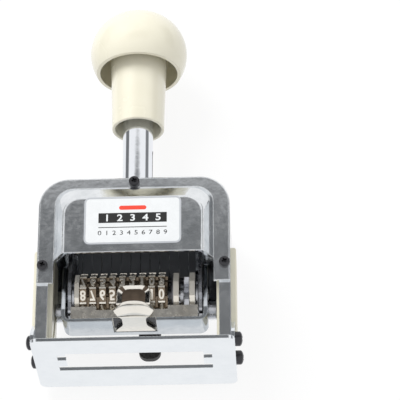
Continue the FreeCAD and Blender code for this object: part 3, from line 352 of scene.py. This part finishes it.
# The plate on the hood. White lacquered sheet in a shallow seat, with plain counting
# print: a red rule, a black band of figures and a fine row of them below.
def lacquer(name, tone, rough=0.3):
    """Lacquer or ink on sheet, a shade uneven."""
    material, flow = new_finish(name)
    drift = flow.noise(3, 4).ramp(0.3, 0.8)
    shade = tuple(part * 0.93 for part in tone[:3]) + (1,)
    close_finish(flow, {"Base Color": drift.mix(tone, shade), "Roughness": rough + drift * 0.1,
                        "Normal": flow.noise(0.3, 2).bump(0.01, 0.2)})
    return material


WIDENED = 1.15


def text_mesh(words, wide, high, deep, bold=0.0):
    """Raised words in the XY plane, facing +Z, fitted into a width and a height in mm. They
    come out wider than the typeface draws them by WIDENED, where the width allows it."""
    curve = bpy.data.curves.new("words", "FONT")
    curve.body = words
    curve.size = 1
    curve.offset = bold
    curve.resolution_u = 4
    curve.extrude = 0.5
    holder = bpy.data.objects.new("words", curve)
    bpy.context.scene.collection.objects.link(holder)
    ready = holder.evaluated_get(bpy.context.evaluated_depsgraph_get())
    mesh = bpy.data.meshes.new_from_object(ready)
    bpy.data.objects.remove(holder)
    low = Vector(map(min, zip(*(point.co for point in mesh.vertices))))
    top = Vector(map(max, zip(*(point.co for point in mesh.vertices))))
    span = top - low
    middle = (low + top) / 2
    drawn = min(wide, span.x / span.y * high * WIDENED)
    fit = Vector((drawn / span.x, high / span.y, deep / span.z))
    mesh.transform(Matrix.Diagonal((fit * MM).to_4d()) @ Matrix.Translation(-middle))
    return mesh


plate_white = lacquer("plate_white", (0.8, 0.82, 0.83, 1), 0.22)
print_black = lacquer("print_black", (0.02, 0.02, 0.02, 1))
print_red = lacquer("print_red", (0.85, 0.07, 0.04, 1))
finish_nodes(plate_white, "nameplate")
plate_low, plate_high = node_box("nameplate")
plate_middle = (plate_low + plate_high) / 2
INK_THICK = 0.03
upright = Matrix.Rotation(math.pi / 2, 4, "X")


def printed(name, meshes, ink, layer):
    """Prints meshes, each with its place on the plate, as one raised layer of ink."""
    work = bmesh.new()
    face = plate_low.y - INK_THICK * (layer - 0.5)
    for mesh, x, z in meshes:
        home = moved((x, face, plate_middle.z + z))
        bmesh.ops.transform(work, matrix=home @ upright, verts=added(work, mesh))
    piece = new_piece(name, mesh_of(work, name), ink, "frame")


def round_corners(work, axis, thick, radius, segments):
    """Rounds the four edges of a block that run along its thickness, in millimetres."""
    edges = [edge for edge in work.edges
             if abs((edge.verts[0].co - edge.verts[1].co)[axis]) > thick * MM / 2]
    bmesh.ops.bevel(work, geom=edges, offset=radius * MM, segments=segments, profile=0.5,
                    affect="EDGES", material=-1)


def bar(wide, high, corner):
    """A flat bar with round corners, as thick as a layer of ink."""
    work = bmesh.new()
    half = Vector((wide, high, INK_THICK)) / 2
    box_in(work, -half, half)
    round_corners(work, 2, INK_THICK, corner, 4)
    return mesh_of(work, "band")


PRINT_WIDE = 22.5
RULE_Z = 4.6
BAND_Z = 0.9
BAND_STEP = 4.2
LINE_Z = -2.6
ROW_Z = -4.6
ROW_STEP = 2.4
printed("plate_red_rule", [(bar(9, 1.5, 0.7), 0, RULE_Z)], print_red, 1)
printed("plate_band", [(bar(PRINT_WIDE, 3.6, 0.15), 0, BAND_Z)], print_black, 1)
printed("plate_band_figures",
        [(text_mesh(str(figure), 2.2, 2.5, INK_THICK, bold=0.02), (figure - 3) * BAND_STEP, BAND_Z)
         for figure in range(1, 6)], plate_white, 2)
printed("plate_figures",
        [(text_mesh(str(figure), 1.3, 1.6, INK_THICK), (figure - 4.5) * ROW_STEP, ROW_Z)
         for figure in range(10)], print_black, 1)
printed("plate_fine_rule", [(bar(PRINT_WIDE, 0.25, 0.1), 0, LINE_Z)], print_black, 1)

# The rim round the plate is the pressed edge of its seat in the hood. A block with round
# corners is made and its middle is taken out, and a silver lacquer stands for the bright
# line that the edge shows.
RIM_WIDE = 0.5
RIM_HIGH = 0.12
RIM_CORNER = 1.9
UNDER_PLATE = 0.05
work = bmesh.new()
box_in(work, (plate_low.x - RIM_WIDE, plate_low.y, plate_low.z - RIM_WIDE),
       (plate_high.x + RIM_WIDE, plate_low.y + RIM_HIGH, plate_high.z + RIM_WIDE))
round_corners(work, 1, RIM_HIGH, RIM_CORNER, 6)
broad = [face for face in work.faces if abs(face.normal.y) > 0.9]
bmesh.ops.inset_region(work, faces=broad, thickness=(RIM_WIDE + UNDER_PLATE) * MM, depth=0)
inner = [face for face in work.faces if abs(face.normal.y) > 0.9
         and abs(face.calc_center_median().x) < 1 * MM and face.calc_area() > 100 * MM * MM]
bmesh.ops.bridge_loops(work, edges=list({edge for face in inner for edge in face.edges}))
bmesh.ops.delete(work, geom=inner, context="FACES_ONLY")
# The pale silver of this lacquer is a painted highlight for the bright line along the pressed edge.
rim_painted_highlight = lacquer("rim_painted_highlight", (0.5, 0.52, 0.55, 1), 0.15)
plate_rim = new_piece("plate_rim", mesh_of(work, "plate_rim"), rim_painted_highlight, "frame")

# The rear cover. A flat plate with a raised panel, chromed as the hood is and held by
# the same three screws.
finish_nodes(pressed_chrome, "rear_cover")
cover_screws("rear_screw_heads", "rear_cover_screws", 1)

# The bushing on the bridge, the cross pin through it and the seat that the pin holds:
# turned steel, the collar chromed and the inner parts left bare.
bare_steel = metal("bare_steel", (0.5, 0.51, 0.54, 1), (0.3, 0.31, 0.34, 1), 0.22, 0.2)
finish_nodes(bright_chrome, "top_bushing")
finish_nodes(bare_steel, "spring_pin", "spring_seat")

# The plunger. A polished steel tube with a nut under the carriage's web, a plug in its
# head and a rubber washer that meets the bridge when the handle comes back up.
polished_tube = metal("polished_tube", (0.84, 0.86, 0.9, 1), (0.74, 0.76, 0.8, 1), 0.05, 0.1,
                      scratch=0.03)
finish_nodes(polished_tube, "plunger_tube")
finish_nodes(bare_steel, "tube_collar", "tube_plug")
black_rubber = moulded("black_rubber", (0.03, 0.03, 0.03, 1), (0.05, 0.05, 0.05, 1), 0.7,
                       grain=0.4)
finish_nodes(black_rubber, "top_bumper")

# The return spring. Oil-hardened wire is wound in a helix that stands on the seat inside
# the tube and is squeezed as the tube comes down over it.
spring_low, spring_high = node_box("return_spring")
WIRE = 0.42
WIRE_SIDES = 10
TURNS = 14
RING_STEPS = 24
coil_radius = spring_high.x - WIRE
work = bmesh.new()
ring = bmesh.ops.create_circle(work, cap_ends=True, segments=WIRE_SIDES, radius=WIRE * MM)["verts"]
stand = moved((coil_radius, 0, spring_low.z + WIRE)) @ upright
bmesh.ops.transform(work, matrix=stand, verts=ring)
climb = (spring_high.z - spring_low.z - 2 * WIRE) / (TURNS * RING_STEPS)
bmesh.ops.spin(work, geom=work.verts[:] + work.edges[:] + work.faces[:], cent=(0, 0, 0),
               axis=(0, 0, 1), dvec=(0, 0, climb * MM), angle=math.tau * TURNS,
               steps=TURNS * RING_STEPS)
spring_mesh = mesh_of(work, "return_spring_coil")
smooth(spring_mesh, 60)
spring = new_piece("return_spring_coil", spring_mesh, bare_steel, "carriage")
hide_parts("return_spring")
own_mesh(spring)

# The handle. A hollow mushroom knob on a tapered sleeve, both moulded in glossy cream
# plastic, smooth enough to hold a clear reflection of the room.
handle_plastic = moulded("handle_plastic", (0.82, 0.785, 0.645, 1), (0.79, 0.755, 0.61, 1), 0.22,
                         edge=0.3, grain=0.01, coat=0.5)
finish_nodes(handle_plastic, "knob_cap", "handle_sleeve")

# The carriage. A bent steel plate that hangs on the tube, with stay rods between its
# sides, the axle of the wheels and a clip at each end of it.
finish_nodes(bare_steel, "carriage_frame", "stay_rods", "wheel_axle")
finish_nodes(black_oxide, "left_axle_clip", "right_axle_clip")

# The comb. Blackened leaf springs hang side by side from a bar, one over each wheel, and
# their ends click between the wheels' ridges.
blued_steel = moulded("blued_steel", (0.13, 0.138, 0.15, 1), (0.09, 0.096, 0.105, 1), 0.4,
                      edge=0.08, grain=0.3, coat=0.1)
# The bar behind the leaves, and the spacer, rod and pawl that share this finish, are phosphated steel.
# They are also kept darker than bare steel as painted shade, so that the gaps between the leaves and
# between the parts read dark.
phosphated_with_painted_shade = metal("phosphated_with_painted_shade", (0.16, 0.16, 0.17, 1), (0.08, 0.08, 0.085, 1), 0.34, 0.15)
finish_nodes(phosphated_with_painted_shade, "comb_bar")
comb_low, comb_high = node_box("detent_springs")
first_low, first_high = node_box("number_wheel_1")
wheel_pitch = node_box("number_wheel_2")[0].x - first_low.x
LEAF_GAP = 0.16
LEAF_EDGE = 0.08
leaf_edges = [comb_low.x]
leaf_edge = (first_low.x + first_high.x) / 2 - wheel_pitch / 2
while leaf_edge < comb_high.x:
    leaf_edges.append(leaf_edge)
    leaf_edge += wheel_pitch
leaf_edges.append(comb_high.x)
work = bmesh.new()
for left, right in zip(leaf_edges, leaf_edges[1:]):
    box_in(work, (left + LEAF_GAP / 2, comb_low.y, comb_low.z),
           (right - LEAF_GAP / 2, comb_high.y, comb_high.z))
bmesh.ops.bevel(work, geom=work.edges[:], offset=LEAF_EDGE * MM, segments=2, profile=0.5,
                affect="EDGES", material=-1)
comb_leaves = new_piece("comb_leaves", mesh_of(work, "comb_leaves"), blued_steel, "carriage")
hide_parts("detent_springs")

# The figure wheels. Engraved brass rims, nickelled: ten flats with a raised figure each,
# read in a mirror, and a ridge between one flat and the next.
bright_nickel = metal("bright_nickel", (0.88, 0.84, 0.76, 1), (0.66, 0.6, 0.5, 1), 0.14, 0.12,
                      grime=0.5, metallic=0.6)
WHEELS = 9
FIGURES = 10
FIGURE_HIGH = 3.5
FIGURE_WIDE = 1.85
FIGURE_RAISED = 0.6
FIGURE_SUNK = 0.1
WHEEL_FLAT = 7.3
WHEEL_RIM = 7.8
BAND_MIDDLE = 1.1
wheel_names = ["number_wheel_%d" % number for number in range(1, WHEELS + 1)]
axle_place = (first_low + first_high) / 2


def ridge_tops(flow):
    """1 on the tops of the ridges and 0 on the floor of the flats, by distance from the axle."""
    place = flow.node("TexCoord", output="Object")
    off = flow.node("VectorMath", {"operation": "SUBTRACT"}, {0: place, 1: axle_place * MM})
    across = flow.node("VectorMath", {"operation": "MULTIPLY"}, {0: off, 1: (0, 1, 1)})
    reach = flow.node("VectorMath", {"operation": "LENGTH"}, {0: across}, "Value")
    return reach.ramp((WHEEL_RIM - 0.1) * MM, (WHEEL_RIM + 0.15) * MM)


# Below the tops of the ridges, on the floors of the flats and on the sides of the wheels, the nickel
# is coloured a dark brown.
nickel_brown_below_ridges = metal("nickel_brown_below_ridges", (0.88, 0.84, 0.76, 1), (0.66, 0.6, 0.5, 1), 0.2, 0.12,
                       recess=((0.22, 0.17, 0.12, 1), ridge_tops), metallic=0.7)
finish_nodes(nickel_brown_below_ridges, *wheel_names)
finish_nodes(bright_nickel, "left_blank_wheel", "middle_blank_wheel", "right_blank_wheel")
finish_nodes(phosphated_with_painted_shade, "wheel_spacer")
figure_meshes = [text_mesh(str(figure), FIGURE_WIDE, FIGURE_HIGH, FIGURE_RAISED, bold=0.03)
                 for figure in range(FIGURES)]
drop = moved((0, 0, FIGURE_SUNK - FIGURE_RAISED / 2 - WHEEL_FLAT))
for number, wheel in enumerate(wheel_names):
    home = moved((node_box(wheel)[0].x + BAND_MIDDLE, axle_place.y, axle_place.z))
    work = bmesh.new()
    for figure, raised in enumerate(figure_meshes):
        fresh = added(work, raised)
        bmesh.ops.scale(work, vec=(1, 1, -1), verts=fresh)
        turn = Matrix.Rotation(math.tau / FIGURES * (figure + number), 4, "X")
        bmesh.ops.transform(work, matrix=home @ turn @ drop, verts=fresh)
    figures = new_piece(wheel + "_figures", mesh_of(work, wheel + "_figures"), bright_nickel, wheel)

# The repeat gear at the right of the wheels. A pawl and a ratchet, both stamped from steel
# and left bare, count how many times each number has been printed.
finish_nodes(bare_steel, "repeat_pawl", "repeat_ratchet")

# The feed rocker. Two stamped steel arms on the axle carry a rod and a fingered pawl, which
# drags the ratchets of the wheels round on the way back up.
finish_nodes(bare_steel, "left_pawl_arm", "right_pawl_arm")
finish_nodes(phosphated_with_painted_shade, "pawl_rod", "feed_pawl")

# The inker. A stirrup with a tray, bent from chromed sheet, hangs on the ends of the axle,
# with turned rollers that run in the guides' grooves.
dim_chrome = metal("dim_chrome", (0.6, 0.63, 0.66, 1), (0.4, 0.43, 0.46, 1), 0.1, 0.5, dent=0.06,
                   grime=0.5)
finish_nodes(dim_chrome, "inker_frame")
finish_nodes(bare_steel, "follower_pins")

# The pad holder. A trough of nickelled sheet that lies in the tray, its front wall cut down
# behind the scoop.
satin_nickel = metal("satin_nickel", (0.72, 0.69, 0.63, 1), (0.4, 0.36, 0.3, 1), 0.18, 0.2,
                     grime=0.6)
finish_nodes(satin_nickel, "pad_holder")

# The clip. A waisted spring plate is hooked under the tray. Over its waist lies a thin black sheet, a
# painted shadow that stands for the dark hollow under the tray. Its front end rises to a curved lip
# with drooping ends. It is pressed from nickelled sheet.
polished_nickel = metal("polished_nickel", (0.84, 0.81, 0.75, 1), (0.74, 0.7, 0.63, 1), 0.12, 0.25,
                        dent=0.1)
clip_low, clip_high = node_box("pad_clip")
CLIP_SHEET = 0.9
CLIP_LEAN = 0.1
CLIP_TAIL = 6.5
CLIP_WAIST = 3.9
CLIP_WING = 6.5
CLIP_CORNER = 0.7
CLIP_LIP_RISE = 3.2
CLIP_LIP_BOW = 2.2
CLIP_DROOP = 1.1
# Shares of the way from the tail to the lip at which the plate changes its width or rises.
WAIST_AT = 0.36
WING_FROM = 0.6
CORNER_FROM = 0.93
LIP_FROM = 0.72


def eased(value, start, end):
    """A smooth rise from 0 to 1 between two levels of a value."""
    part = min(max((value - start) / (end - start), 0), 1)
    return part * part * (3 - 2 * part)


work = bmesh.new()
bmesh.ops.create_grid(work, x_segments=24, y_segments=48, size=1)
for point in work.verts:
    across = point.co.x
    along = (1 - point.co.y) / 2
    half = CLIP_TAIL - (CLIP_TAIL - CLIP_WAIST) * eased(along, 0, WAIST_AT)
    half += (CLIP_WING - CLIP_WAIST) * eased(along, WING_FROM, CORNER_FROM)
    half -= CLIP_CORNER * eased(along, CORNER_FROM, 1)
    lip = eased(along, LIP_FROM, 1)
    back = clip_high.y + (clip_low.y - clip_high.y) * along
    point.co = Vector((across * half, back + CLIP_LIP_BOW * across ** 2 * lip,
                       clip_low.z + CLIP_LIP_RISE * lip - CLIP_DROOP * across ** 4 * lip)) * MM
grown = bmesh.ops.extrude_face_region(work, geom=work.faces[:])
lifted = [item for item in grown["geom"] if isinstance(item, bmesh.types.BMVert)]
bmesh.ops.translate(work, vec=(0, CLIP_LEAN * MM, CLIP_SHEET * MM), verts=lifted)
clip_mesh = mesh_of(work, "clip_plate")
smooth(clip_mesh, 40)
clip_plate = new_piece("clip_plate", clip_mesh, polished_nickel, "inker")
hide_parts("pad_clip")
# A thin black sheet just under the pad holder, over the clip's waist: painted shadow for the dark
# hollow there.
SHADE_SHEET_HALF = 7
SHADE_SHEET_FRONT = -8.6
SHADE_SHEET_BACK = -1.2
holder_under = node_box("pad_holder")[0].z
work = bmesh.new()
box_in(work, (-SHADE_SHEET_HALF, SHADE_SHEET_FRONT, holder_under - 0.06),
       (SHADE_SHEET_HALF, SHADE_SHEET_BACK, holder_under - 0.02))
recess = new_piece("clip_shade_sheet", mesh_of(work, "clip_shade_sheet"), black_oxide, "inker")

# The scoop. A small cup for the tip of a thumb, pressed from the same sheet: its rim flares
# and leans back, and the deep part of its inside is painted dark brown as painted shade and dark
# reflection.
SCOOP_FLOOR = 14.6
SCOOP_CORNER = 2.3
SCOOP_SHEET = 0.45
# Each stage of the cup from its back wall to its mouth: half its width, the height of its
# top, and how far front its foot and its head lie.
scoop_stages = ((3.7, 20.7, -11.15, -11.15), (4.1, 21.3, -12.8, -11.5),
                (5.6, clip_high.z - 0.1, -14.1, -12.1))
work = bmesh.new()
half, top, foot, head = scoop_stages[0]
wall = [work.verts.new(Vector(corner) * MM) for corner in
        ((-half, foot, SCOOP_FLOOR), (half, foot, SCOOP_FLOOR), (half, head, top), (-half, head, top))]
work.faces.new(wall)
bmesh.ops.bevel(work, geom=wall[2:], offset=SCOOP_CORNER * MM, segments=6, profile=0.5,
                affect="VERTICES", material=-1)
mouth = work.faces[:][0]
for (half_was, top_was, _, _), (half, top, foot, head) in zip(scoop_stages, scoop_stages[1:]):
    grown = bmesh.ops.extrude_face_region(work, geom=[mouth])
    mouth = [item for item in grown["geom"] if isinstance(item, bmesh.types.BMFace)][0]
    for point in mouth.verts:
        rise = (point.co.z / MM - SCOOP_FLOOR) / (top_was - SCOOP_FLOOR)
        point.co = Vector((point.co.x / MM * half / half_was, foot + (head - foot) * rise,
                           SCOOP_FLOOR + rise * (top - SCOOP_FLOOR))) * MM
bmesh.ops.delete(work, geom=[mouth], context="FACES_ONLY")
bmesh.ops.solidify(work, geom=work.faces[:], thickness=SCOOP_SHEET * MM)
scoop_mesh = mesh_of(work, "clip_scoop")
smooth(scoop_mesh, 40)
scoop = new_piece("clip_scoop", scoop_mesh, polished_nickel, "inker")
# A dark brown finish on the inward faces deep in the cup: painted shade and dark reflection of the
# hollow.
scoop_painted_shade = metal("scoop_painted_shade", (0.13, 0.1, 0.075, 1), (0.06, 0.045, 0.035, 1), 0.3, 0.15)
scoop_mesh.materials.append(scoop_painted_shade)
scoop_middle = Vector((0, -12.2, 18.4)) * MM
SHADE_HALF = 4.3
SHADE_TOP = 21.4
shade_front = (scoop_stages[1][2] + scoop_stages[2][2]) / 2
for polygon in scoop_mesh.polygons:
    inward = polygon.normal.dot(polygon.center - scoop_middle) < 0
    deep = (polygon.center.y > shade_front * MM and abs(polygon.center.x) < SHADE_HALF * MM
            and polygon.center.z < SHADE_TOP * MM)
    polygon.material_index = int(inward and deep)

# The ink pad. A strip of pressed wool felt, crowned where it swells between its edges,
# and still clean.
pad_low, pad_high = node_box("ink_pad")
centre = (pad_low + pad_high) / 2 * MM
PAD_CROWN = 0.35
PAD_SWELL = 0.2
work = bmesh.new()
box_in(work, pad_low, pad_high)
bmesh.ops.subdivide_edges(work, edges=work.edges[:], cuts=24, use_grid_fill=True)
for point in work.verts:
    along_x = (point.co.x - centre.x) / ((pad_high.x - pad_low.x) / 2 * MM)
    along_y = (point.co.y - centre.y) / ((pad_high.y - pad_low.y) / 2 * MM)
    fall = 1 - (1 - along_x ** 6) * (1 - along_y ** 4)
    if point.co.z > centre.z:
        point.co.z -= PAD_CROWN * MM * fall
    point.co.y -= fall * along_y * PAD_SWELL * MM
felt_mesh = mesh_of(work, "felt_pad")
smooth(felt_mesh, 60)


def felt(name, tone, deep):
    """Pressed wool: matted fibres that stand a little out of a soft surface."""
    material, flow = new_finish(name)
    fibres = flow.noise(0.35, 6, (0.3, 1, 1)) + flow.noise(0.4, 6, (1, 0.3, 1))
    close_finish(flow, {"Base Color": flow.noise(1.5, 5).ramp(0.3, 0.7).mix(tone, deep),
                        "Roughness": 0.9 + 0.05 * fibres, "Sheen Weight": 0.4,
                        "Normal": fibres.bump(0.15, 0.7)})
    return material


wool_felt = felt("wool_felt", (0.85, 0.82, 0.72, 1), (0.76, 0.72, 0.61, 1))
pad = new_piece("felt_pad", felt_mesh, wool_felt, "inker")
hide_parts("ink_pad")

# The repeat lever on the rear panel, stamped and nickelled, its shoulder screw and the black
# tongue that is pushed over its end, which shows through the window from below.
black_plastic = moulded("black_plastic", (0.02, 0.02, 0.022, 1), (0.035, 0.035, 0.035, 1), 0.5)
finish_nodes(bright_nickel, "selector_lever")
finish_nodes(black_oxide, "selector_pivot")
finish_nodes(black_plastic, "selector_tip")

# The lock button on the rear panel. It is turned from brass and nickelled, and it is pushed
# in to hold the plunger down or to free the wheels for setting.
finish_nodes(bright_nickel, "lock_button")

# The place of the photograph. The machine lies on its back on a white table, under a
# wide soft box, with the dark of the studio behind the camera.
PICTURE = 400
FOCAL = 2102
SENSOR = 36
CAMERA_PLACE = (45.45, -632.0, -277.6)
YAW = math.radians(-2.18)
PITCH = math.radians(28.1)
ROLL = math.radians(-0.26)
lens = bpy.data.cameras.new("camera")
lens.sensor_width = SENSOR
lens.lens = FOCAL / PICTURE * SENSOR
lens.clip_start = 0.01
camera = bpy.data.objects.new("camera", lens)
bpy.context.scene.collection.objects.link(camera)
bpy.context.scene.camera = camera
forward = Vector((math.sin(YAW) * math.cos(PITCH), math.cos(YAW) * math.cos(PITCH), math.sin(PITCH)))
level = forward.cross(Vector((0, 0, 1))).normalized()
over = level.cross(forward)
right = math.cos(ROLL) * level + math.sin(ROLL) * over
over = right.cross(forward)
turned = Matrix((right, over, -forward)).transposed().to_4x4()
camera.matrix_world = moved(CAMERA_PLACE) @ turned

# The table is a wide sheet of white card behind the machine. Only the camera sees it, and
# only from its front, so it throws no tint on the machine.
TABLE = 1.5
TABLE_FACE = 21.4
TABLE_GLOW = 0.85
work = bmesh.new()
sheet = bmesh.ops.create_grid(work, x_segments=1, y_segments=1, size=TABLE)["verts"]
bmesh.ops.rotate(work, matrix=Matrix.Rotation(math.pi / 2, 3, "X"), verts=sheet)
bmesh.ops.translate(work, vec=(0, TABLE_FACE * MM, 0), verts=sheet)
table_mesh = bpy.data.meshes.new("table")
work.to_mesh(table_mesh)
work.free()
table_paint, flow = new_finish("table_paint")
seen = flow.node("LightPath", output="Is Camera Ray")
paper = flow.node("BsdfDiffuse", {}, {"Color": (0.98, 0.98, 0.98, 1)})
white = flow.node("Emission", {}, {"Color": (1, 1, 1, 1), "Strength": 1})
lit = flow.node("MixShader", {}, {0: seen * TABLE_GLOW, 1: paper, 2: white})
clear = flow.node("BsdfTransparent")
behind = flow.node("NewGeometry", output="Backfacing")
both = flow.node("MixShader", {}, {0: behind, 1: lit, 2: clear})
flow.node("OutputMaterial", {}, {"Surface": both})
table_mesh.materials.append(table_paint)
table = bpy.data.objects.new("table", table_mesh)
bpy.context.scene.collection.objects.link(table)
for way in ("diffuse", "glossy", "transmission", "shadow"):
    setattr(table, "visible_" + way, False)

# The studio is white, and mirrors see two things in it. One is the dark round the camera,
# with soft ends at both sides, above and below. The other is a tall dark card at each side.
world = bpy.data.worlds.new("studio")
world.use_nodes = True
world.node_tree.nodes.clear()
bpy.context.scene.world = world
sky = Flow(world.node_tree)
toward = sky.node("TexCoord", output="Generated")
CARD_SOFT = math.radians(3)


def facing(direction):
    """How far a ray runs along a direction, from -1 to 1."""
    unit = Vector(direction).normalized()
    return sky.node("VectorMath", {"operation": "DOT_PRODUCT"}, {0: toward, 1: unit}, "Value")


def size_of(value):
    """A value without its sign."""
    return sky.node("Math", {"operation": "ABSOLUTE"}, {0: value})


lean = facing((0, 0.43, 0.9))
toward_camera = facing((0, -0.9, 0.43))
cloudy = sky.node("TexNoise", {}, {"Vector": toward, "Scale": 16, "Detail": 3}).ramp(0.35, 0.65)
dark = (1 - size_of(facing((1, 0, 0))).ramp(0.28, 0.5)) * (1 - size_of(lean).ramp(0.2, 0.42))
dark = dark * toward_camera.ramp(0, 0.1) * (1 - lean.ramp(0.045, 0.095)) * (1 - cloudy * 0.06)
bearing = sky.node("Math", {"operation": "ARCTAN2"}, {0: facing((1, 0, 0)), 1: facing((0, -1, 0))})
height_of_ray = facing((0, 0, 1))


def card(left, right):
    """A tall dark card in the studio between two bearings from the front, in degrees."""
    low = math.radians(left)
    high = math.radians(right)
    return (bearing.ramp(low - CARD_SOFT, low + CARD_SOFT)
            * (1 - bearing.ramp(high - CARD_SOFT, high + CARD_SOFT)))


upright_cards = card(-100, -68) * 0.95 + card(64, 92) * 0.9
cards = upright_cards * height_of_ray.ramp(0.1, 0.3) * (1 - height_of_ray.ramp(0.7, 0.85))
mirror = sky.node("LightPath", output="Is Glossy Ray")
through = sky.node("LightPath", output="Is Transmission Ray")
studio = ((dark + cards) * 0.9).mix((1, 1, 1, 1), (0.06, 0.065, 0.07, 1))
room = (mirror + through).mix((0.8, 0.8, 0.8, 1), studio)
eye = sky.node("LightPath", output="Is Camera Ray")
shown = eye.mix(room, (1, 1, 1, 1))
sky.node("OutputWorld", {}, {"Surface": sky.node("Background", {}, {"Color": shown})})

# The soft box is a square lamp high at the left of the camera. It lights the cream and
# white parts, and no mirror shows it.
KEY_SIZE = 0.6
KEY_POWER = 9
KEY_AIM = Vector((0, 0, 0.06))
key = bpy.data.lights.new("key_box", "AREA")
key.size = KEY_SIZE
key.energy = KEY_POWER
lamp = bpy.data.objects.new("key_box", key)
lamp.location = (-0.5, -0.9, 0.7)
lamp.rotation_mode = "QUATERNION"
lamp.rotation_quaternion = (KEY_AIM - lamp.location).to_track_quat("-Z", "Y")
lamp.visible_glossy = False
bpy.context.scene.collection.objects.link(lamp)

bpy.context.scene.view_settings.view_transform = "Standard"
